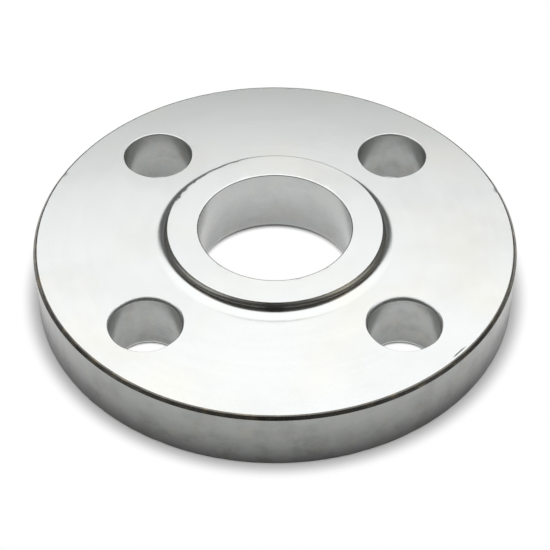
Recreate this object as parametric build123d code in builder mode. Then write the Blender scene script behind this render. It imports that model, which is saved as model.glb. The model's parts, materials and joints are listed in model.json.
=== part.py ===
from build123d import *
import os

# Lap joint flange for nominal 1 inch pipe, class 150, turned from one steel blank.
# The lap face lies on the XY plane, the hub stands up round the Z axis, and sizes are in mm.

# Plate, with a steep bevel round the upper edge and a broken lower edge
outside_diameter = 110.0
plate_thickness = 14.6
rim_bevel_width = 0.6
rim_bevel_height = 0.95
rim_bottom_break = 0.4

# Hub, the short collar that stands on the bolting face
hub_diameter = 49.2
hub_rise = 2.9
hub_foot_radius = 2.6
hub_edge_break = 0.15

# Bore, with the large corner radius that clears the fillet behind a stub end's lap
bore_diameter = 35.0
lap_corner_radius = 3.0
bore_top_break = 0.3

# Bolt holes, which straddle the X and Y axes
bolt_circle_diameter = 79.4
bolt_hole_diameter = 15.9
bolt_hole_count = 4
bolt_hole_break = 0.5

# Heights and radii of the turned section
height_through_hub = plate_thickness + hub_rise
outer_radius = outside_diameter / 2
hub_radius = hub_diameter / 2
bore_radius = bore_diameter / 2

# The concave foot takes nearly the whole rise and leaves a short straight side above it.
straight_hub_side = 0.1
tallest_foot = hub_rise - hub_edge_break - straight_hub_side
foot_radius = min(hub_foot_radius, tallest_foot)


def corner(sketch, radius, height):
    """The corner of a turned section at this radius and height."""
    return sketch.vertices().sort_by_distance((radius, height))[0]


with BuildPart() as flange:
    with BuildSketch(Plane.XZ) as section:
        with BuildLine():
            Polyline(
                (bore_radius, 0),
                (outer_radius, 0),
                (outer_radius, plate_thickness - rim_bevel_height),
                (outer_radius - rim_bevel_width, plate_thickness),
                (hub_radius, plate_thickness),
                (hub_radius, height_through_hub),
                (bore_radius, height_through_hub),
                close=True,
            )
        make_face()
        fillet(corner(section, bore_radius, 0), lap_corner_radius)
        chamfer(corner(section, outer_radius, 0), rim_bottom_break)
        fillet(corner(section, hub_radius, plate_thickness), foot_radius)
        chamfer(corner(section, hub_radius, height_through_hub), hub_edge_break)
        chamfer(corner(section, bore_radius, height_through_hub), bore_top_break)
    revolve(axis=Axis.Z)

    # Half a pitch of turn puts a pair of holes either side of both centre lines.
    with Locations((0, 0, height_through_hub)):
        with PolarLocations(bolt_circle_diameter / 2, bolt_hole_count, 180 / bolt_hole_count):
            Hole(bolt_hole_diameter / 2)
    hole_rims = flange.edges(Select.LAST).filter_by(GeomType.CIRCLE)
    chamfer(hole_rims, bolt_hole_break)

flange.part.label = "flange"

os.makedirs("parts", exist_ok=True)
export_step(flange.part, "parts/flange.step")
print(f"flange: volume {flange.part.volume:.1f} mm3, height {height_through_hub:.1f} mm")
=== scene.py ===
# %% [markdown]
# # A lap joint flange in turned steel
#
# A lap joint flange is a loose ring of stainless steel. It slides over a pipe's stub end and
# presses on the stub's lap while four bolts pull it to its mate. It is one piece: a forged
# blank is turned on a lathe, faced on both sides, bored, drilled and deburred by hand.
#
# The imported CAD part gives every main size. This lesson spins the same section again as a
# finer mesh, because small marks need more points along an edge than a CAD export has.
# It then drills the mesh, gives each machined surface its own steel and lights it softly.

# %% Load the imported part
import json
import math

import bmesh
import bpy
import numpy as np
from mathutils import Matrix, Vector

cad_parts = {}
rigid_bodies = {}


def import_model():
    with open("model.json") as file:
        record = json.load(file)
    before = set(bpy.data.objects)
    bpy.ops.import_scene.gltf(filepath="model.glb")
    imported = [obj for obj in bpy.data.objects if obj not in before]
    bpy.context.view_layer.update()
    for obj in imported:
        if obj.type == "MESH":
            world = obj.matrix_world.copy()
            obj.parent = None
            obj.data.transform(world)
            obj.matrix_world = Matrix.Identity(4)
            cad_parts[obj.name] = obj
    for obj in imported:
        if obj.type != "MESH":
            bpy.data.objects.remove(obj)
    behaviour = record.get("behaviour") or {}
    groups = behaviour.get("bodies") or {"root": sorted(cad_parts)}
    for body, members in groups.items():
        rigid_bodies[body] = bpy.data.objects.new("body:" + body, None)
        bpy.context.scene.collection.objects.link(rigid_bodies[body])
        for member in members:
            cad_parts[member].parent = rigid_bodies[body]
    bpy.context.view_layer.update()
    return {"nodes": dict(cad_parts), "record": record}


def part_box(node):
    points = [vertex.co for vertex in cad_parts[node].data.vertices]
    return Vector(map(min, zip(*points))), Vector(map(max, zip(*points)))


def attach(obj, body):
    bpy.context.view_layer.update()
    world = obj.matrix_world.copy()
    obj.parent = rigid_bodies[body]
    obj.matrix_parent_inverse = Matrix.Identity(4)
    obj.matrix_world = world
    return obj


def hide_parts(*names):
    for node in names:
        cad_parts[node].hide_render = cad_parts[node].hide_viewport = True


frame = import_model()

MM = 0.001


# %% [markdown]
# ## Sizes from the frame
#
# A turned part is described by its section: the heights and radii where one surface ends and
# the next begins. They could be typed in again, but then this file and the CAD could drift
# apart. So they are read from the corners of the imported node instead. All the corners on one
# cylinder share a radius, and their lowest and highest ones say how far its rounded or
# broken edges reach.

# %% Read the section's sizes
TOUCH = 0.01 * MM
NEAR_RIM, NEAR_HUB_TOP = 0.9, 0.8

low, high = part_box("flange")
corners = [(math.hypot(v.co.x, v.co.y), v.co.z) for v in frame["nodes"]["flange"].data.vertices]


def heights_at(radius, floor=-math.inf):
    """The heights, lowest first, of the corners on the cylinder of this radius."""
    return sorted(z for r, z in corners if abs(r - radius) < TOUCH and z > floor)


TOTAL_HEIGHT = high.z
OUTER_RADIUS = max(r for r, z in corners)
BORE_RADIUS = min(r for r, z in corners)
FACE_HEIGHT = max(z for r, z in corners if r > NEAR_RIM * OUTER_RADIUS)
HUB_RISE = TOTAL_HEIGHT - FACE_HEIGHT
HUB_RADIUS = max(r for r, z in corners if z > FACE_HEIGHT + NEAR_HUB_TOP * HUB_RISE)

rim_heights = heights_at(OUTER_RADIUS)
bore_heights = heights_at(BORE_RADIUS)
hub_heights = heights_at(HUB_RADIUS, floor=FACE_HEIGHT + TOUCH)
RIM_BOTTOM_BREAK = rim_heights[0] - low.z
BEVEL_HEIGHT = FACE_HEIGHT - rim_heights[-1]
BEVEL_WIDTH = OUTER_RADIUS - max(r for r, z in corners if abs(z - FACE_HEIGHT) < TOUCH)
LAP_ROUND = bore_heights[0] - low.z
BORE_BREAK = TOTAL_HEIGHT - bore_heights[-1]
FOOT_ROUND = hub_heights[0] - FACE_HEIGHT
HUB_BREAK = TOTAL_HEIGHT - hub_heights[-1]
for label, size in (
    ("rim radius", OUTER_RADIUS),
    ("hub radius", HUB_RADIUS),
    ("bore radius", BORE_RADIUS),
    ("face height", FACE_HEIGHT),
    ("hub height", TOTAL_HEIGHT),
    ("bevel width", BEVEL_WIDTH),
    ("bevel height", BEVEL_HEIGHT),
    ("hub foot radius", FOOT_ROUND),
):
    print(f"{label}: {size / MM:.2f} mm")

# %% Read the drilling pattern from the record
pattern = next(mount for mount in frame["record"]["mounts"] if mount["name"] == "bolt_holes")
HOLE_COUNT = pattern["dims"]["count"]
HOLE_RADIUS = pattern["dims"]["hole_r_mm"] * MM
PITCH_RADIUS = pattern["dims"]["pcd_mm"] / 2 * MM
hole_angles = [2 * math.pi * (k + 0.5) / HOLE_COUNT for k in range(HOLE_COUNT)]
HOLE_CENTRES = [(PITCH_RADIUS * math.cos(a), PITCH_RADIUS * math.sin(a)) for a in hole_angles]
print(f"{HOLE_COUNT} holes of {HOLE_RADIUS / MM:.2f} mm radius, {PITCH_RADIUS / MM:.2f} mm out")

# %% [markdown]
# ## Small helpers for shader nodes
#
# Each finish below is a small network of shader nodes. Written out in full, most lines would
# only wire one socket to the next. A few helpers keep the recipes short enough to read. One
# makes a node, one feeds a socket with a number or with another node's output, and one does
# arithmetic. Three more spread a value over a range, mix two colours and read a noise.

# %% Make a node, feed a socket, do arithmetic
def add(tree, kind, **settings):
    """A new node of this kind, with its settings filled in."""
    node = tree.nodes.new("ShaderNode" + kind)
    for name, value in settings.items():
        setattr(node, name, value)
    return node


def feed(tree, socket, value):
    """Wires an output to the socket, or writes a plain number or colour on it."""
    if isinstance(value, bpy.types.NodeSocket):
        tree.links.new(value, socket)
    else:
        socket.default_value = value


def calc(tree, operation, *values, clamp=False):
    """One Math node, as a line of arithmetic."""
    node = add(tree, "Math", operation=operation, use_clamp=clamp)
    for socket, value in zip(node.inputs, values):
        feed(tree, socket, value)
    return node.outputs[0]


print("helpers ready:", add.__name__, feed.__name__, calc.__name__)


# %% Spread a value, mix two colours, read a noise
MIX_FIRST, MIX_SECOND, MIX_RESULT = 6, 7, 2  # the Mix node's colour sockets, by number


def remap(tree, value, start, end, low_value=0.0, high_value=1.0):
    """Value between start and end, eased and spread over low_value to high_value."""
    node = add(tree, "MapRange", interpolation_type="SMOOTHSTEP")
    for name, number in (
        ("Value", value),
        ("From Min", start),
        ("From Max", end),
        ("To Min", low_value),
        ("To Max", high_value),
    ):
        feed(tree, node.inputs[name], number)
    return node.outputs["Result"]


def blend(tree, mask, first, second):
    """The first colour where the mask is 0 and the second where it is 1."""
    node = add(tree, "Mix", data_type="RGBA")
    feed(tree, node.inputs["Factor"], mask)
    feed(tree, node.inputs[MIX_FIRST], first)
    feed(tree, node.inputs[MIX_SECOND], second)
    return node.outputs[MIX_RESULT]


def noise(tree, place, scale=1.0, detail=2.0, roughness=0.5):
    """A Noise Texture read at this place, as one value round a half."""
    node = add(tree, "TexNoise")
    feed(tree, node.inputs["Vector"], place)
    for name, number in (("Scale", scale), ("Detail", detail), ("Roughness", roughness)):
        feed(tree, node.inputs[name], number)
    return node.outputs["Fac"]


print("helpers ready:", remap.__name__, blend.__name__, noise.__name__)

# %% [markdown]
# ## Groups shared by the finishes
#
# Machined steel shows the same few effects on every surface: fine tool marks, patches of
# handling haze and hairline scratches. Each effect is a node group with named inputs, built
# once and placed in every material with its own values. The groups give out only values,
# masks and colours, and the shaders stay in the materials.
#
# The first group says where a point lies on a turned part: how far from the axis, how high,
# and in which direction. The direction comes out as two numbers, its cosine and sine, because
# an angle would jump from one turn to zero and leave a seam.

# %% Start a node group, and place one in a material
def start_group(name, inputs, outputs):
    """An empty shader group with these named sockets, and its input and output nodes."""
    tree = bpy.data.node_groups.new(name, "ShaderNodeTree")
    for socket_name, value in inputs.items():
        kind = "NodeSocketVector" if isinstance(value, tuple) else "NodeSocketFloat"
        socket = tree.interface.new_socket(name=socket_name, in_out="INPUT", socket_type=kind)
        socket.default_value = value
    for socket_name, kind in outputs.items():
        tree.interface.new_socket(name=socket_name, in_out="OUTPUT", socket_type=kind)
    return tree, tree.nodes.new("NodeGroupInput"), tree.nodes.new("NodeGroupOutput")


def place_group(tree, group, **values):
    """The group as a node in this material, with the values named here fed to its inputs."""
    node = add(tree, "Group", node_tree=group)
    for name, value in values.items():
        feed(tree, node.inputs[name.replace("_", " ")], value)
    return node


# %% Group: the place on a turned part, in millimetres
turned_place, _, given = start_group(
    "turned_place",
    {},
    {
        "Radius": "NodeSocketFloat",
        "Height": "NodeSocketFloat",
        "Place": "NodeSocketVector",
        "Cosine": "NodeSocketFloat",
        "Sine": "NodeSocketFloat",
    },
)
tree = turned_place
in_mm = add(tree, "VectorMath", operation="SCALE")
tree.links.new(add(tree, "TexCoord").outputs["Object"], in_mm.inputs["Vector"])
in_mm.inputs["Scale"].default_value = 1 / MM
split = add(tree, "SeparateXYZ")
tree.links.new(in_mm.outputs["Vector"], split.inputs[0])
x, y, z = split.outputs
squares = calc(tree, "ADD", calc(tree, "MULTIPLY", x, x), calc(tree, "MULTIPLY", y, y))
radius = calc(tree, "SQRT", squares)
feed(tree, given.inputs["Radius"], radius)
feed(tree, given.inputs["Height"], z)
feed(tree, given.inputs["Place"], in_mm.outputs["Vector"])
feed(tree, given.inputs["Cosine"], calc(tree, "DIVIDE", x, radius))
feed(tree, given.inputs["Sine"], calc(tree, "DIVIDE", y, radius))
print("group", tree.name, "has", len(tree.nodes), "nodes")

# %% [markdown]
# A lathe tool leaves a groove for each turn of the work, a few tenths of a millimetre apart.
# A ring texture with perfect circles looks printed, because real grooves differ in depth and
# fade in and out round the part. Noise does this if it changes fast across the grooves and
# slowly along them. The same group serves faces, where the grooves step outwards, and
# cylinders, where they step upwards, so the way across them is an input.

# %% Group: fine tool marks
FINE_STEP, BROAD_STEP = 1.0, 0.12

tool_marks, asked, given = start_group(
    "tool_marks",
    {"Across": 0.0, "Cosine": 0.0, "Sine": 0.0, "Spacing": 0.3, "Fade": 1.5, "Seed": 0.0},
    {"Fine": "NodeSocketFloat", "Broad": "NodeSocketFloat"},
)
tree = tool_marks
across = calc(tree, "DIVIDE", asked.outputs["Across"], asked.outputs["Spacing"])


def groove_place(step):
    """Noise coordinates that run fast across the grooves and slowly along them."""
    joined = add(tree, "CombineXYZ")
    along_x = calc(tree, "MULTIPLY", asked.outputs["Cosine"], asked.outputs["Fade"])
    along_y = calc(tree, "MULTIPLY", asked.outputs["Sine"], asked.outputs["Fade"])
    feed(tree, joined.inputs[0], calc(tree, "ADD", along_x, asked.outputs["Seed"]))
    feed(tree, joined.inputs[1], along_y)
    feed(tree, joined.inputs[2], calc(tree, "MULTIPLY", across, step))
    return joined.outputs[0]


fine_grooves = noise(tree, groove_place(FINE_STEP), detail=3.0, roughness=0.7)
feed(tree, given.inputs["Fine"], fine_grooves)
feed(tree, given.inputs["Broad"], noise(tree, groove_place(BROAD_STEP)))
print("group", tree.name, "has", len(tree.nodes), "nodes")

# %% [markdown]
# Bare steel never stays clean. Cutting oil and hands leave soft patches that are a little
# duller and warmer than the metal round them, with finer specks inside. Low, slow noise gives
# the patches, and a second, faster noise breaks up their edges. Each noise is read at a
# shifted place, so that the patches, the warmth and the specks don't coincide.

# %% Group: handling haze
PATCH_RANGE, WARM_RANGE = (0.4, 0.72), (0.45, 0.75)
PATCH_SHIFT, WARM_SHIFT, GRAIN_SHIFT = 3.7, 11.2, 7.1

handling_haze, asked, given = start_group(
    "handling_haze",
    {"Place": (0.0, 0.0, 0.0), "Patch size": 20.0, "Grain size": 0.5},
    {"Patches": "NodeSocketFloat", "Grain": "NodeSocketFloat", "Warmth": "NodeSocketFloat"},
)
tree = handling_haze


def scaled_place(size, shift):
    """The place divided by a size in millimetres, moved to a fresh part of the noise."""
    node = add(tree, "VectorMath", operation="MULTIPLY_ADD")
    step = calc(tree, "DIVIDE", 1.0, size)
    feed(tree, node.inputs[0], asked.outputs["Place"])
    feed(tree, node.inputs[1], step)
    feed(tree, node.inputs[2], (shift, -shift, 2 * shift))
    return node.outputs[0]


patch_size, grain_size = asked.outputs["Patch size"], asked.outputs["Grain size"]
slow = noise(tree, scaled_place(patch_size, PATCH_SHIFT), detail=4.0, roughness=0.6)
warm = noise(tree, scaled_place(patch_size, WARM_SHIFT), scale=1.3)
feed(tree, given.inputs["Patches"], remap(tree, slow, *PATCH_RANGE))
feed(tree, given.inputs["Warmth"], remap(tree, warm, *WARM_RANGE))
specks = noise(tree, scaled_place(grain_size, GRAIN_SHIFT), roughness=0.6)
feed(tree, given.inputs["Grain"], specks)
print("group", tree.name, "has", len(tree.nodes), "nodes")

# %% [markdown]
# Stacked in a bin, flanges rub on each other and pick up hairline scratches in every
# direction. A noise stretched about forty times one way makes a field of threads, and keeping
# only its highest values leaves a few thin lines. Three such fields at different angles are
# enough for the eye to read them as random. They are tilted a little as well, so that they
# also cross the rim and the walls of the holes.

# %% Group: hairline scratches
THREAD_TURNS = (0.35, 1.45, 2.6)
THREAD_TILTS = (0.4, 0.3, 1.0)
THREAD_RANGE = (0.70, 0.78)

hairlines, asked, given = start_group(
    "hairlines",
    {"Place": (0.0, 0.0, 0.0), "Length": 6.0, "Width": 0.14, "Amount": 0.5},
    {"Scratches": "NodeSocketFloat"},
)
tree = hairlines
fields = []
for turn in THREAD_TURNS:
    rotated = add(tree, "VectorRotate", rotation_type="EULER_XYZ")
    feed(tree, rotated.inputs["Vector"], asked.outputs["Place"])
    feed(tree, rotated.inputs["Rotation"], [tilt * turn for tilt in THREAD_TILTS])
    parts = add(tree, "SeparateXYZ")
    tree.links.new(rotated.outputs[0], parts.inputs[0])
    stretched = add(tree, "CombineXYZ")
    for axis, size in enumerate(("Length", "Width", "Width")):
        step = calc(tree, "DIVIDE", parts.outputs[axis], asked.outputs[size])
        feed(tree, stretched.inputs[axis], step)
    fields.append(remap(tree, noise(tree, stretched.outputs[0], detail=1.0), *THREAD_RANGE))
strongest = calc(tree, "MAXIMUM", calc(tree, "MAXIMUM", fields[0], fields[1]), fields[2])
amount = asked.outputs["Amount"]
feed(tree, given.inputs["Scratches"], calc(tree, "MULTIPLY", strongest, amount))
print("group", tree.name, "has", len(tree.nodes), "nodes")

# %% [markdown]
# ## One recipe for machined steel
#
# All the surfaces are the same metal, and the tool and the hand that finished them differ. Some of
# them also carry painted shade in their colour. So one recipe makes every material: the shared
# groups go in with that surface's values, and the shader's plain numbers, such as full metal, stay
# on its own sockets.
#
# The colour moves between a cool steel and a slightly warmer one. The roughness rises in the
# tool marks, the haze and the scratches. A bump of a few thousandths of a millimetre lets the
# grooves catch the light.

# %% The steel recipe
COOL_STEEL = (0.715, 0.735, 0.73, 1)
WARM_STEEL = (0.735, 0.735, 0.70, 1)
GRAIN_SHADE = 0.03
SCRATCH_ROUGHNESS = 0.12
BROAD_RELIEF, SCRATCH_RELIEF = 0.6, -1.5


def steel(
    name,
    roughness,
    across="Radius",
    spacing=0.3,
    mark_roughness=0.05,
    mark_depth=0.004,
    mark_shade=0.03,
    fade=1.5,
    haze=0.04,
    haze_shade=0.04,
    patch_size=20.0,
    scratches=0.4,
    along_turning=0.0,
    painted_foot_shade=0.0,
    cool=COOL_STEEL,
    warm=WARM_STEEL,
):
    """A machined steel: how rough it is, how its tool marks run and how much it was handled."""
    material = bpy.data.materials.new(name)
    material.use_nodes = True
    tree = material.node_tree
    shader = tree.nodes["Principled BSDF"]
    shader.inputs["Metallic"].default_value = 1.0
    shader.inputs["Anisotropic"].default_value = along_turning

    where = place_group(tree, turned_place)
    marks = place_group(
        tree,
        tool_marks,
        Across=where.outputs[across],
        Cosine=where.outputs["Cosine"],
        Sine=where.outputs["Sine"],
        Spacing=spacing,
        Fade=fade,
        Seed=float(len(bpy.data.materials)),
    )
    soil = place_group(tree, handling_haze, Place=where.outputs["Place"], Patch_size=patch_size)
    lines = place_group(tree, hairlines, Place=where.outputs["Place"], Amount=scratches)
    fine, broad = marks.outputs["Fine"], marks.outputs["Broad"]
    patches, grain, warmth = (soil.outputs[n] for n in ("Patches", "Grain", "Warmth"))

    base = blend(tree, warmth, cool, warm)
    shade = calc(tree, "MULTIPLY", calc(tree, "SUBTRACT", fine, 0.5), 2 * mark_shade)
    for value, strength in ((broad, mark_shade), (grain, GRAIN_SHADE)):
        centred = calc(tree, "SUBTRACT", value, 0.5)
        shade = calc(tree, "MULTIPLY_ADD", centred, 2 * strength, shade)
    shade = calc(tree, "MULTIPLY_ADD", patches, -haze_shade, shade)
    # Painted shade: the colour darkens towards the lap face, by as much as the foot shade says.
    lower = remap(tree, where.outputs["Height"], 0.0, FACE_HEIGHT / MM, -painted_foot_shade, 0.0)
    shade = calc(tree, "ADD", shade, lower)
    brightness = calc(tree, "ADD", shade, 1.0)
    shaded = add(tree, "VectorMath", operation="SCALE")
    feed(tree, shaded.inputs["Vector"], base)
    feed(tree, shaded.inputs["Scale"], brightness)
    feed(tree, shader.inputs["Base Color"], shaded.outputs["Vector"])

    threads = lines.outputs["Scratches"]
    gloss = calc(tree, "MULTIPLY_ADD", fine, mark_roughness, roughness - mark_roughness / 2)
    gloss = calc(tree, "MULTIPLY_ADD", patches, haze, gloss)
    gloss = calc(tree, "MULTIPLY_ADD", threads, SCRATCH_ROUGHNESS, gloss, clamp=True)
    feed(tree, shader.inputs["Roughness"], gloss)

    relief = calc(tree, "MULTIPLY_ADD", broad, BROAD_RELIEF, fine)
    relief = calc(tree, "MULTIPLY_ADD", threads, SCRATCH_RELIEF, relief)
    bump = add(tree, "Bump")
    bump.inputs["Distance"].default_value = mark_depth * MM
    feed(tree, bump.inputs["Height"], relief)
    feed(tree, shader.inputs["Normal"], bump.outputs["Normal"])
    print(f"steel {name}: roughness {roughness}, marks every {spacing} mm")
    return material


# %% [markdown]
# Seven finishes cover the part. The two faces are turned fine enough to look satin. The rim is a
# rougher and duller cut. Its colour is painted darker as shade, and darker still towards its foot,
# as painted shade that stands in for the shadowed floor it would reflect. The broken edges are
# painted the darkest, as shade for the dark lines that such edges show, and darkest of all at the
# rim's foot. The side of the hub was made with a form tool, and its colour is painted darker as
# shade too. The bore carries the long marks of a boring bar, the holes the finer spiral of a
# drill, and the mouths of the holes the uneven shine of a hand deburring tool. The bore and the
# holes are painted darker than the faces as shade, and darker still towards their foot. In each
# recipe the foot shade says how much darker the lowest part is painted, as shade.

# %% The finishes of this flange
# Painted shade: the darker cool and warm colours of the rim, the broken edges, the hub's side, the
# bore and the holes, and every foot shade.
FINISHES = {
    "turned_face": steel(
        "turned_face", roughness=0.22, spacing=0.22, mark_depth=0.0015, mark_shade=0.02,
        haze=0.03, haze_shade=0.025, patch_size=26.0, scratches=0.15, along_turning=0.15,
    ),
    "turned_rim": steel(
        "turned_rim", roughness=0.24, across="Height", spacing=0.25, mark_depth=0.003,
        mark_shade=0.04, fade=14.0, haze=0.05, haze_shade=0.12, patch_size=5.0,
        painted_foot_shade=0.55, cool=(0.33, 0.34, 0.33, 1), warm=(0.345, 0.34, 0.315, 1),
    ),
    "broken_edge": steel(
        "broken_edge", roughness=0.24, spacing=0.5, mark_roughness=0.08, mark_depth=0.003,
        mark_shade=0.10, fade=9.0, haze=0.10, haze_shade=0.20, patch_size=3.0,
        painted_foot_shade=0.8, cool=(0.17, 0.165, 0.15, 1), warm=(0.28, 0.25, 0.19, 1),
    ),
    "hub_side": steel(
        "hub_side", roughness=0.21, across="Height", spacing=0.2, mark_depth=0.0015,
        mark_shade=0.03, haze=0.03, haze_shade=0.04,
        cool=(0.39, 0.38, 0.35, 1), warm=(0.45, 0.42, 0.355, 1),
    ),
    "bored_wall": steel(
        "bored_wall", roughness=0.24, across="Height", spacing=0.28, mark_depth=0.003,
        mark_shade=0.04, fade=3.0, haze=0.05, haze_shade=0.06, patch_size=8.0,
        painted_foot_shade=0.35, cool=(0.50, 0.515, 0.51, 1), warm=(0.52, 0.515, 0.49, 1),
    ),
    "drilled_wall": steel(
        "drilled_wall", roughness=0.28, across="Height", spacing=0.35, mark_depth=0.004,
        mark_shade=0.05, fade=6.0, haze=0.06, haze_shade=0.10, patch_size=4.0,
        painted_foot_shade=0.38, cool=(0.45, 0.465, 0.455, 1), warm=(0.47, 0.46, 0.43, 1),
    ),
    "deburred_mouth": steel(
        "deburred_mouth", roughness=0.32, spacing=0.6, mark_roughness=0.08, mark_depth=0.004,
        mark_shade=0.04, fade=30.0, haze=0.05, haze_shade=0.05, patch_size=2.0,
    ),
}
FINISH_ORDER = list(FINISHES)

# %% [markdown]
# One scratch is too deep to leave to chance: a short one near the rim, where a corner of
# another flange once dug in. Its mask comes from two distances, one along the line and one
# across it. The line bends a little, starts soft, ends softer still, and stays on the upper
# face. The mask darkens the face's own colour.

# %% Where the deep scratch runs, in millimetres
SCRATCH_START, SCRATCH_END = Vector((37.8, -38.1)), Vector((40.9, -34.7))
SCRATCH_BEND = 0.08
SOFT_START, SOFT_END = (-0.05, 0.25), (1.1, 0.6)
SCRATCH_HALF_WIDTH = (0.25, 0.06)
SCRATCH_SHADE = (0.13, 0.13, 0.115, 1)

line = SCRATCH_END - SCRATCH_START
unit = line / line.length_squared
aside = line.orthogonal().normalized()
print(f"deep scratch: {line.length:.1f} mm long")

# %% Group: one deep scratch
deep_scratch, asked, given = start_group(
    "deep_scratch", {"Place": (0.0, 0.0, 0.0)}, {"Mask": "NodeSocketFloat"}
)
tree = deep_scratch
split = add(tree, "SeparateXYZ")
tree.links.new(asked.outputs["Place"], split.inputs[0])
from_x = calc(tree, "SUBTRACT", split.outputs[0], SCRATCH_START.x)
from_y = calc(tree, "SUBTRACT", split.outputs[1], SCRATCH_START.y)
along = calc(tree, "MULTIPLY_ADD", from_x, unit.x, calc(tree, "MULTIPLY", from_y, unit.y))
across = calc(tree, "MULTIPLY_ADD", from_x, aside.x, calc(tree, "MULTIPLY", from_y, aside.y))
arch = calc(tree, "SUBTRACT", along, calc(tree, "MULTIPLY", along, along))
bend = calc(tree, "MULTIPLY", arch, 4 * SCRATCH_BEND)
beside = calc(tree, "ABSOLUTE", calc(tree, "SUBTRACT", across, bend))
mask = calc(tree, "MULTIPLY", remap(tree, along, *SOFT_START), remap(tree, along, *SOFT_END))
mask = calc(tree, "MULTIPLY", mask, remap(tree, beside, *SCRATCH_HALF_WIDTH))
mask = calc(tree, "MULTIPLY", mask, remap(tree, split.outputs[2], 0.0, FACE_HEIGHT / MM))
feed(tree, given.inputs["Mask"], mask)
print("group", tree.name, "has", len(tree.nodes), "nodes")

# %% Put the scratch on the bolting face
tree = FINISHES["turned_face"].node_tree
base_socket = tree.nodes["Principled BSDF"].inputs["Base Color"]
clean_colour = base_socket.links[0].from_socket
place = place_group(tree, turned_place).outputs["Place"]
scratch_mask = place_group(tree, deep_scratch, Place=place).outputs["Mask"]
feed(tree, base_socket, blend(tree, scratch_mask, clean_colour, SCRATCH_SHADE))
print("turned_face now has", len(tree.nodes), "nodes")

# %% [markdown]
# ## The turned section
#
# The section is drawn as a lathe would cut it: a chain of straight runs and arcs, each with
# the name of its finish. Every point of the chain becomes a ring of points when it is spun.
#
# Straight runs get extra rings close to both ends. There they hold the shading flat up to
# the edge, and give the small nicks below something to push. Arcs are cut into steps of less
# than twenty degrees, which smooth shading then hides.

# %% Straight runs and arcs
GUARDS = (0.12, 0.35, 0.8)
WIDEST_STEP = 4.0 * MM


def stations(length):
    """Distances along a straight run: close near both ends, evenly spaced between."""
    near = [guard * MM for guard in GUARDS if guard * MM < length / 3]
    reach = near[-1] if near else 0.0
    inner = length - 2 * reach
    count = max(1, math.ceil(inner / WIDEST_STEP))
    middle = [reach + inner * i / count for i in range(1, count)]
    return [0.0] + near + middle + [length - distance for distance in reversed(near)]


def straight(finish, start, end):
    """Section points along a straight run, without its end point."""
    start, end = Vector(start), Vector(end)
    length = (end - start).length
    return [(*start.lerp(end, distance / length), finish) for distance in stations(length)]


def arc(finish, centre, radius, start_angle, end_angle, steps):
    """Section points along an arc, without its end point. Angles are in degrees."""
    points = []
    for step in range(steps):
        angle = math.radians(start_angle + (end_angle - start_angle) * step / steps)
        points.append(
            (centre[0] + radius * math.cos(angle), centre[1] + radius * math.sin(angle), finish)
        )
    return points


def softened(finish, corner, before, after, radius, steps):
    """Section points round a corner that is rubbed to a small radius, and its two ends."""
    corner = Vector(corner)
    back = (Vector(before) - corner).normalized()
    on = (Vector(after) - corner).normalized()
    half = back.angle(on) / 2
    centre = corner + (back + on).normalized() * radius / math.sin(half)
    first = corner + back * radius / math.tan(half)
    last = corner + on * radius / math.tan(half)
    start, end = (first - centre).normalized(), (last - centre).normalized()
    turned = [centre + start.slerp(end, step / steps) * radius for step in range(steps)]
    return [(*point, finish) for point in turned], first, last


print("a run of 10 mm has points at, mm:", [round(s / MM, 2) for s in stations(10 * MM)])

# %% [markdown]
# The upper edge of the rim is a steep bevel. A sharp bevel catches one hard line of light at
# each of its corners, and on a handled part both are rubbed. So each corner becomes a small
# arc that touches the two straight runs beside it. Rubbing also makes the bevel look a little
# wider and lower than the drawn one, and two factors lean it that way.

# %% Draw the bevel of the rim, with its two corners rubbed
BEVEL_FOOT_ROUND = 0.12 * MM
BEVEL_TOP_ROUND = 0.45 * MM
LEAN_WIDTH, LEAN_HEIGHT = 1.1, 0.84

rim_foot = (OUTER_RADIUS, RIM_BOTTOM_BREAK)
bevel_foot = (OUTER_RADIUS, FACE_HEIGHT - LEAN_HEIGHT * BEVEL_HEIGHT)
bevel_top = (OUTER_RADIUS - LEAN_WIDTH * BEVEL_WIDTH, FACE_HEIGHT)
cove_foot = (HUB_RADIUS + FOOT_ROUND, FACE_HEIGHT)
foot_turn, rim_end, bevel_start = softened(
    "broken_edge", bevel_foot, rim_foot, bevel_top, BEVEL_FOOT_ROUND, steps=4
)
top_turn, bevel_end, face_start = softened(
    "broken_edge", bevel_top, bevel_foot, cove_foot, BEVEL_TOP_ROUND, steps=6
)
print(f"bevel left flat, mm: {(bevel_end - bevel_start).length / MM:.2f}")

# %% [markdown]
# Two of the arcs change their finish halfway. The hub's hollow foot is bright like the bolting
# face where it leaves it, and dark like the hub's side above, whose colour is painted darker as
# shade. The break at the top of the bore goes the same way from the hub's face to the bored wall.

# %% Draw the section, from the lap face outwards and round
rim_break_centre = (OUTER_RADIUS - RIM_BOTTOM_BREAK, RIM_BOTTOM_BREAK)
cove_centre = (HUB_RADIUS + FOOT_ROUND, FACE_HEIGHT + FOOT_ROUND)
hub_break_centre = (HUB_RADIUS - HUB_BREAK, TOTAL_HEIGHT - HUB_BREAK)
bore_break_centre = (BORE_RADIUS + BORE_BREAK, TOTAL_HEIGHT - BORE_BREAK)
lap_centre = (BORE_RADIUS + LAP_ROUND, LAP_ROUND)

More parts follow.
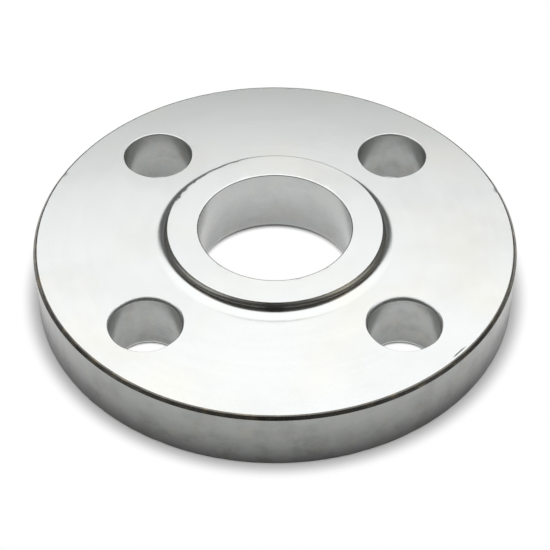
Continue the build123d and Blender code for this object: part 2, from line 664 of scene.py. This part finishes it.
lap_face = straight("turned_face", (lap_centre[0], 0), (rim_break_centre[0], 0))
rim = (
    arc("broken_edge", rim_break_centre, RIM_BOTTOM_BREAK, -90, 0, steps=5)
    + straight("turned_rim", rim_foot, rim_end)
    + foot_turn
    + straight("broken_edge", bevel_start, bevel_end)
    + top_turn
)
bolting_face = straight("turned_face", face_start, cove_foot)
hub = (
    arc("turned_face", cove_centre, FOOT_ROUND, 270, 225, steps=6)
    + arc("hub_side", cove_centre, FOOT_ROUND, 225, 180, steps=6)
    + straight("hub_side", (HUB_RADIUS, cove_centre[1]), (HUB_RADIUS, hub_break_centre[1]))
    + arc("broken_edge", hub_break_centre, HUB_BREAK, 0, 90, steps=5)
)
hub_face = straight(
    "turned_face", (hub_break_centre[0], TOTAL_HEIGHT), (bore_break_centre[0], TOTAL_HEIGHT)
)
bore = (
    arc("turned_face", bore_break_centre, BORE_BREAK, 90, 135, steps=3)
    + arc("bored_wall", bore_break_centre, BORE_BREAK, 135, 180, steps=3)
    + straight("bored_wall", (BORE_RADIUS, bore_break_centre[1]), (BORE_RADIUS, LAP_ROUND))
    + arc("bored_wall", lap_centre, LAP_ROUND, 180, 270, steps=9)
)
section = lap_face + rim + bolting_face + hub + hub_face + bore
print("section points:", len(section))

# %% [markdown]
# ## Nicks and hand work
#
# The real edges aren't perfect circles. Parts knock together, and a tool that chatters leaves
# a stretch of edge ragged. Bump in a material can't change an outline, so these marks are
# pushed into the mesh: each one moves the points near one spot inwards, by a bell curve that
# has its own width along the edge and across it. The random ones come from a seeded
# generator, so every run gives the same part.

# %% Lay out the spin, and which way is out at each point of the section
SEGMENTS = 840

ring_radius = np.array([point[0] for point in section])
ring_height = np.array([point[1] for point in section])
ring_finish = [FINISH_ORDER.index(point[2]) for point in section]
spin = 2 * np.pi * np.arange(SEGMENTS) / SEGMENTS

ahead = np.stack([np.roll(ring_radius, -1), np.roll(ring_height, -1)], 1)
behind = np.stack([np.roll(ring_radius, 1), np.roll(ring_height, 1)], 1)
forward = (ahead - behind) / np.linalg.norm(ahead - behind, axis=1)[:, None]
outward_radius, outward_height = forward[:, 1], -forward[:, 0]
pressed = np.zeros((len(section), SEGMENTS))
print(f"{len(section)} rings of {SEGMENTS} points")


# %% Press one nick into the skin
def nick(radius, height, angle, depth, along, across):
    """Pushes the skin in round one spot. The angle is in degrees, the last three in mm."""
    turn = (spin - math.radians(angle) + np.pi) % (2 * np.pi) - np.pi
    beside = np.hypot(ring_radius - radius, ring_height - height)[:, None]
    around = (turn * radius)[None, :]
    bell = np.exp(-((around / (along * MM)) ** 2) - (beside / (across * MM)) ** 2)
    pressed[:] += depth * MM * bell


# %% Knock the edges about
HANDWORK_SEED = 7
RAGGED_ARC, TICK_COUNT, TICK_DEPTHS = (111.5, 159.0), 34, (0.02, 0.10)
LIGHT_KNOCK, KNOCK_WIDTHS = 0.2, (0.4, 1.2)

ROUND_45 = 1 - math.sqrt(0.5)
SHARE_IN, SHARE_DOWN = 0.6, 0.4
RIM_EDGE = (OUTER_RADIUS - SHARE_IN * BEVEL_WIDTH, FACE_HEIGHT - SHARE_DOWN * BEVEL_HEIGHT)
RIM_FOOT = (OUTER_RADIUS - ROUND_45 * RIM_BOTTOM_BREAK, ROUND_45 * RIM_BOTTOM_BREAK)
HUB_EDGE = (HUB_RADIUS - ROUND_45 * HUB_BREAK, TOTAL_HEIGHT - ROUND_45 * HUB_BREAK)
BORE_EDGE = (BORE_RADIUS + ROUND_45 * BORE_BREAK, TOTAL_HEIGHT - ROUND_45 * BORE_BREAK)
KNOCKS = ((RIM_EDGE, 26, 0.05), (RIM_FOOT, 22, 0.06), (BORE_EDGE, 8, 0.03))

handwork = np.random.default_rng(HANDWORK_SEED)
nick(*RIM_EDGE, angle=16.9, depth=0.16, along=0.9, across=0.6)
nick(*RIM_EDGE, angle=156.7, depth=0.14, along=0.8, across=0.6)
nick(*HUB_EDGE, angle=156.0, depth=0.14, along=0.5, across=0.3)
nick(*HUB_EDGE, angle=133.0, depth=0.08, along=9.0, across=0.25)
for angle in np.sort(handwork.uniform(*RAGGED_ARC, TICK_COUNT)):
    depth = handwork.uniform(*TICK_DEPTHS)
    nick(*HUB_EDGE, angle=angle, depth=depth, along=0.26, across=0.22)
for edge, count, deepest in KNOCKS:
    for angle in handwork.uniform(0, 360, count):
        depth = handwork.uniform(LIGHT_KNOCK, 1.0) * deepest
        nick(*edge, angle=angle, depth=depth, along=handwork.uniform(*KNOCK_WIDTHS), across=0.4)
print(f"deepest nick, mm: {pressed.max() / MM:.3f}")


# %% Turn rings of points into a mesh
def skin(name, layers, finishes, closed):
    """A mesh from rings of points: one band of quads between each ring and the next."""
    rings, segments = layers.shape[:2]
    number = np.arange(rings * segments).reshape(rings, segments)
    faces, slots = [], []
    for ring in range(rings if closed else rings - 1):
        lower, upper = number[ring], number[(ring + 1) % rings]
        band = np.stack([lower, np.roll(lower, -1), np.roll(upper, -1), upper], 1)
        faces += band.tolist()
        slots += [finishes[ring]] * segments
    if not closed:
        faces += [number[0][::-1].tolist(), number[-1].tolist()]
        slots += [finishes[0], finishes[-1]]
    mesh = bpy.data.meshes.new(name)
    mesh.from_pydata(layers.reshape(-1, 3).tolist(), [], faces)
    for material in FINISHES.values():
        mesh.materials.append(material)
    mesh.polygons.foreach_set("material_index", slots)
    return mesh


# %% Build the turned blank
grid_radius = ring_radius[:, None] - pressed * outward_radius[:, None]
grid_height = ring_height[:, None] - pressed * outward_height[:, None]
grid = np.stack([grid_radius * np.cos(spin), grid_radius * np.sin(spin), grid_height], -1)

blank = bpy.data.objects.new("blank", skin("blank", grid, ring_finish, closed=True))
bpy.context.scene.collection.objects.link(blank)
print(f"blank: {len(blank.data.polygons)} faces")

# %% [markdown]
# ## Drilling the bolt holes
#
# A drill could be a plain cylinder, and the hole's broken edge a bevel afterwards. But a
# bevel gives every hole the same perfect ring, and on the real part each mouth was scraped
# by hand, wider here and narrower there. So each drill is a mesh of its own that flares at
# both ends by an uneven amount. On two of the holes the tool was pressed harder and leaned to
# one side, so their mouths are wider there. A Boolean modifier then cuts all four at once.

# %% The uneven flare at one end of a drill
DRILL_SEGMENTS = 144
MOUTH_SWEEP = math.radians(60)
MOUTH_STEPS = 5
PAST_FACE, CLEAR_OF_FACE = 0.12 * MM, 1.2 * MM
WANDER_FALL, WANDER_LIMITS = 0.6, (0.45, 1.6)
ANY_PHASE = 6.28

drill_spin = 2 * np.pi * np.arange(DRILL_SEGMENTS) / DRILL_SEGMENTS


def uneven(waves, size):
    """A ring of numbers near 1 that wander smoothly and close on themselves."""
    wander = np.ones(DRILL_SEGMENTS)
    for wave in range(1, waves):
        strength = size / wave**WANDER_FALL * handwork.normal()
        wander += strength * np.cos(wave * drill_spin + handwork.uniform(0, ANY_PHASE))
    return np.clip(wander, *WANDER_LIMITS)


def flare(mouth, lift):
    """Rings from the wall out over one mouth. Mouth is its round, lift the face's height."""
    rings = []
    for step in range(MOUTH_STEPS + 1):
        sweep = MOUTH_SWEEP * step / MOUTH_STEPS
        outwards = HOLE_RADIUS + mouth * (1 - math.cos(sweep))
        upwards = lift - mouth * (math.sin(MOUTH_SWEEP) - math.sin(sweep))
        rings.append((outwards, upwards))
    widest = outwards + PAST_FACE * math.sin(MOUTH_SWEEP)
    rings.append((widest, upwards + PAST_FACE * math.cos(MOUTH_SWEEP)))
    rings.append((widest, upwards + CLEAR_OF_FACE))
    return rings


print(f"a mouth turns by {math.degrees(MOUTH_SWEEP):.0f} degrees in {MOUTH_STEPS} steps")

# %% Shape one drill
BACK_MOUTH, FRONT_MOUTH = 0.6 * MM, 1.0 * MM
MOUTH_LEAN = 0.35 * MM
BOTTOM_ROUND = 0.8 * MM
WALL_SHARES = (0.25, 0.5, 0.75)


def drill_layers(centre):
    """The rings of one drill, from below the lap face to above the bolting face."""
    worked_hard = centre[1] < 0
    mouth = (FRONT_MOUTH if worked_hard else BACK_MOUTH) * uneven(waves=9, size=0.09)
    top = flare(mouth + MOUTH_LEAN * worked_hard * np.sin(drill_spin), FACE_HEIGHT)
    bottom = flare(BOTTOM_ROUND * uneven(waves=7, size=0.12), 0.0)
    rings = [(distance, -height) for distance, height in reversed(bottom)]
    rings += [(HOLE_RADIUS, FACE_HEIGHT * share) for share in WALL_SHARES]
    rings += top
    layers = []
    for distance, height in rings:
        x = centre[0] + distance * np.cos(drill_spin)
        y = centre[1] + distance * np.sin(drill_spin)
        layers.append(np.stack([x, y, np.broadcast_to(height, x.shape)], -1))
    return np.array(layers)


# %% Drill the blank
lip_finish, wall_finish = FINISH_ORDER.index("deburred_mouth"), FINISH_ORDER.index("drilled_wall")
FLARE_BANDS = MOUTH_STEPS + 2
drill_finish = (
    [lip_finish] * FLARE_BANDS
    + [wall_finish] * (len(WALL_SHARES) + 1)
    + [lip_finish] * (FLARE_BANDS + 1)
)

drills = bmesh.new()
for centre in HOLE_CENTRES:
    one = skin("drill", drill_layers(centre), drill_finish, closed=False)
    drills.from_mesh(one)
    bpy.data.meshes.remove(one)
drill_mesh = bpy.data.meshes.new("drills")
drills.to_mesh(drill_mesh)
drills.free()
for material in FINISHES.values():
    drill_mesh.materials.append(material)
drill_set = bpy.data.objects.new("drills", drill_mesh)
bpy.context.scene.collection.objects.link(drill_set)

cut = blank.modifiers.new("drilling", "BOOLEAN")
cut.operation = "DIFFERENCE"
cut.solver = "EXACT"
cut.object = drill_set
print(f"drills: {len(HOLE_CENTRES)}, with {len(drill_mesh.polygons)} faces in all")

# %% [markdown]
# ## Smooth where it is round, flat where it is flat
#
# After a Boolean, long thin faces meet at the holes, and plain smooth shading would smear
# their normals over the flat face. Two steps prevent that. Edges sharper than the steps of
# an arc are marked sharp. Then the Weighted Normal modifier lets large faces decide the
# normal at a shared corner, so that the flat faces shade flat right up to the rounded edges.

# %% Take the drilled mesh and settle its normals
SHARP_ANGLE = math.radians(24)


def baked(source, name):
    """A new object that holds the source's mesh as its modifiers leave it."""
    graph = bpy.context.evaluated_depsgraph_get()
    mesh = bpy.data.meshes.new_from_object(source.evaluated_get(graph), depsgraph=graph)
    mesh.name = name
    result = bpy.data.objects.new(name, mesh)
    bpy.context.scene.collection.objects.link(result)
    return result


drilled = baked(blank, "drilled")
drilled.data.polygons.foreach_set("use_smooth", [True] * len(drilled.data.polygons))
drilled.data.set_sharp_from_angle(angle=SHARP_ANGLE)
shading = drilled.modifiers.new("flat faces stay flat", "WEIGHTED_NORMAL")
shading.mode = "FACE_AREA"
shading.keep_sharp = True
flange = baked(drilled, "flange_body")
for scrap in (blank, drill_set, drilled):
    bpy.data.objects.remove(scrap)

# %% Measure the finished mesh
check = bmesh.new()
check.from_mesh(flange.data)
open_edges = sum(1 for edge in check.edges if not edge.is_manifold)
triangles = sum(len(face.verts) - 2 for face in check.faces)
volume = check.calc_volume() / MM**3
check.free()
print(f"flange_body: {triangles} triangles, {open_edges} open edges, {volume:.0f} mm3")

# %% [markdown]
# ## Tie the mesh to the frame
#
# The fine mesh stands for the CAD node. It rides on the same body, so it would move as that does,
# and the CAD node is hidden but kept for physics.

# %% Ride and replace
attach(flange, "root")
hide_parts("flange")
print(flange.name, "rides on root and stands for the node flange")

# %% [markdown]
# ## The studio
#
# Steel has hardly any colour of its own: it shows the room. In the photograph the faces are
# bright and the edges have crisp dark lines, which means light from above and darkness round
# the sides. So the studio is a tent: a softbox for a roof, curtains for walls and a pale
# floor. The camera looks in through the curtain, so the roof and the curtain are hidden from
# camera rays only, and the steel still shows them.
#
# Where the softbox ends decides where the dark lines in the hub's hollow foot begin. Its
# outline is given as how high its edge stands, in degrees, seen from the flange in each
# direction: high over the camera, low at the sides and higher again at the back, where the
# bolting face then fades a little. Directions count from the X axis, so -90 is the camera's
# side, and the left is the mirror image of the right.

# %% Where the softbox ends
ROOF_HEIGHT = 1.0
ROOF_BRIGHTNESS = 1.40
ROOF_CORNERS = 128
ROOF_EDGE = ((-90, 46), (-50, 39.5), (-20, 22), (30, 27), (60, 38), (90, 38))

roof_outline = []
for step in range(ROOF_CORNERS):
    azimuth = 360 * step / ROOF_CORNERS - 180
    mirrored = azimuth if abs(azimuth) <= 90 else math.copysign(180, azimuth) - azimuth
    elevation = math.radians(np.interp(mirrored, *zip(*ROOF_EDGE)))
    reach = ROOF_HEIGHT / math.tan(elevation)
    turn = math.radians(azimuth)
    roof_outline.append((reach * math.cos(turn), reach * math.sin(turn)))
ROOF_WIDTH = 2 * max(x for x, y in roof_outline)
roof_depth = max(y for x, y in roof_outline) - min(y for x, y in roof_outline)
print(f"softbox: {ROOF_WIDTH:.2f} m wide and {roof_depth:.2f} m deep, {ROOF_HEIGHT} m up")


# %% A plain surface, and a piece of the studio that wears it
def plain(name, colour, glow=0.0):
    """A dull, even surface for the studio's own pieces, which may also glow."""
    material = bpy.data.materials.new(name)
    material.use_nodes = True
    shader = material.node_tree.nodes["Principled BSDF"]
    shader.inputs["Base Color"].default_value = (*colour, 1)
    shader.inputs["Roughness"].default_value = 1.0
    shader.inputs["Specular IOR Level"].default_value = 0.0
    shader.inputs["Emission Color"].default_value = (1, 1, 1, 1)
    shader.inputs["Emission Strength"].default_value = glow
    return material


def studio_piece(name, shape, material):
    """An object of the studio, which isn't part of the flange, from a finished bmesh."""
    mesh = bpy.data.meshes.new(name)
    shape.to_mesh(mesh)
    shape.free()
    mesh.materials.append(material)
    piece = bpy.data.objects.new(name, mesh)
    bpy.context.scene.collection.objects.link(piece)
    return piece


# %% Hang the softbox
roof_shape = bmesh.new()
roof_shape.faces.new([roof_shape.verts.new((x, y, ROOF_HEIGHT)) for x, y in roof_outline])
roof = studio_piece("softbox_roof", roof_shape, plain("softbox_cloth", (0, 0, 0), ROOF_BRIGHTNESS))
print("softbox brightness:", ROOF_BRIGHTNESS)

# %% [markdown]
# The curtain is a drum with a lid and no bottom, just wider and taller than the softbox. It is
# black cloth that glows faintly instead of being lit, a painted light, and it glows less on the
# camera's side than at the back. A narrow black stand just behind the camera gives the front of
# the hub its darkest spot. It only shows in the metal: it casts no shadow, and the floor isn't
# darkened by it.

# %% Hang the curtain
CURTAIN_FRONT_GLOW, CURTAIN_BACK_GLOW = 0.045, 0.11
CURTAIN_RADIUS = 0.52 * ROOF_WIDTH
CURTAIN_HEIGHT = 1.02 * ROOF_HEIGHT
CURTAIN_SIDES = 96

curtain_shape = bmesh.new()
bmesh.ops.create_cone(
    curtain_shape, cap_ends=True, segments=CURTAIN_SIDES,
    radius1=CURTAIN_RADIUS, radius2=CURTAIN_RADIUS, depth=CURTAIN_HEIGHT,
)
bottom = [f for f in curtain_shape.faces if f.calc_center_median().z < -CURTAIN_HEIGHT / 4]
bmesh.ops.delete(curtain_shape, geom=bottom, context="FACES")
bmesh.ops.translate(curtain_shape, verts=curtain_shape.verts, vec=(0, 0, CURTAIN_HEIGHT / 2))
# Painted light: the curtain's black cloth glows, less at the front than at the back.
curtain = studio_piece("curtain", curtain_shape, plain("front_curtain_glow", (0, 0, 0), CURTAIN_FRONT_GLOW))
curtain.data.materials.append(plain("back_curtain_glow", (0, 0, 0), CURTAIN_BACK_GLOW))
for side in curtain.data.polygons:
    side.material_index = int(side.center.y > 0)
print(f"curtain: {CURTAIN_RADIUS:.2f} m from the flange, {CURTAIN_HEIGHT:.2f} m high")

# %% Put the stand behind the camera, and hide the studio from camera rays
STAND_WIDTH, STAND_HEIGHT = 0.09, 0.316
STAND_PLACE = -0.30

stand_shape = bmesh.new()
half = STAND_WIDTH / 2
stand_shape.faces.new([
    stand_shape.verts.new((x, STAND_PLACE, z))
    for x, z in ((-half, 0), (half, 0), (half, STAND_HEIGHT), (-half, STAND_HEIGHT))
])
stand = studio_piece("camera_stand", stand_shape, plain("black_paint", (0.02, 0.02, 0.02)))
stand.visible_diffuse = stand.visible_shadow = False
for piece in (roof, curtain, stand):
    piece.visible_camera = False
    print(piece.name, "is seen only in the metal")

# %% [markdown]
# ## Floor and backdrop
#
# The floor is plain and pale. Close round the flange it is ordinary matt paper that takes its
# shadow. Further out, and inside the bore and the holes, it fades into a plain white, which
# the camera, and also the metal in its reflections, sees at full strength. So the background
# is white without more light on the flange. The world behind the floor is the same white.

# %% Which rays see the white
def seen_directly(tree):
    """1 for rays from the camera and for those in mirror and glass, 0 for the rest."""
    rays = add(tree, "LightPath").outputs
    straight_on = calc(tree, "MAXIMUM", rays["Is Camera Ray"], rays["Is Glossy Ray"])
    return calc(tree, "MAXIMUM", straight_on, rays["Is Transmission Ray"])


# %% A floor that fades to white
FLOOR_COLOUR = (0.8, 0.8, 0.8)
FLOOR_RADIUS = 4.0
FLOOR_SIDES = 128
FADE_START, FADE_END = 0.0551, 0.0595
BORE_FADE = (BORE_RADIUS + 0.6 * LAP_ROUND, BORE_RADIUS)
HOLE_FADE = (1.03 * HOLE_RADIUS, 0.94 * HOLE_RADIUS)

paper = plain("pale_paper", FLOOR_COLOUR)
tree = paper.node_tree
place = add(tree, "TexCoord").outputs["Object"]


def distance_from(centre):
    """How far a point of the floor is from this centre, in metres."""
    node = add(tree, "VectorMath", operation="DISTANCE")
    feed(tree, node.inputs[0], place)
    feed(tree, node.inputs[1], (*centre, 0))
    return node.outputs["Value"]


far = remap(tree, distance_from((0, 0)), FADE_START, FADE_END)
inside = remap(tree, distance_from((0, 0)), *BORE_FADE)
for centre in HOLE_CENTRES:
    inside = calc(tree, "MAXIMUM", inside, remap(tree, distance_from(centre), *HOLE_FADE))
whitened = calc(tree, "MAXIMUM", far, inside)
white = add(tree, "Emission")
white.inputs["Strength"].default_value = 1.0
fade_to_white = add(tree, "MixShader")
feed(tree, fade_to_white.inputs["Fac"], calc(tree, "MULTIPLY", whitened, seen_directly(tree)))
feed(tree, fade_to_white.inputs[1], tree.nodes["Principled BSDF"].outputs[0])
feed(tree, fade_to_white.inputs[2], white.outputs[0])
tree.links.new(fade_to_white.outputs[0], tree.nodes["Material Output"].inputs["Surface"])

floor_shape = bmesh.new()
bmesh.ops.create_circle(floor_shape, cap_ends=True, segments=FLOOR_SIDES, radius=FLOOR_RADIUS)
studio_piece("floor", floor_shape, paper)
print(f"floor: white from {FADE_END / MM:.1f} mm outwards")

# %% The world
world = bpy.data.worlds.new("studio")
bpy.context.scene.world = world
world.use_nodes = True
tree = world.node_tree
backdrop = tree.nodes["Background"]
feed(tree, backdrop.inputs["Strength"], seen_directly(tree))
backdrop.inputs["Color"].default_value = (1, 1, 1, 1)
print("world:", world.name)

# %% [markdown]
# ## The camera
#
# The ellipses of the rim, the hub and the holes fix where the camera stood: about forty-four
# degrees up and a little under forty centimetres away, with a long lens. It aims a hair above
# the lap face, which puts the flange where it sits in the picture without any lens shift.

# %% Place the camera
ELEVATION = math.radians(44.463)
DISTANCE = 0.39256
AIM = Vector((0, 0, 0.00181))
SENSOR_WIDTH, LENS = 36, 109.99

camera_data = bpy.data.cameras.new("camera")
camera_data.sensor_width = SENSOR_WIDTH
camera_data.lens = LENS
camera_data.clip_start = 0.01
camera = bpy.data.objects.new("camera", camera_data)
bpy.context.scene.collection.objects.link(camera)
back = Vector((0, -math.cos(ELEVATION), math.sin(ELEVATION)))
camera.location = AIM + DISTANCE * back
camera.rotation_euler = back.to_track_quat("Z", "Y").to_euler()
bpy.context.scene.camera = camera
bpy.context.scene.view_settings.view_transform = "Standard"
print("camera at, m:", [round(value, 3) for value in camera.location])
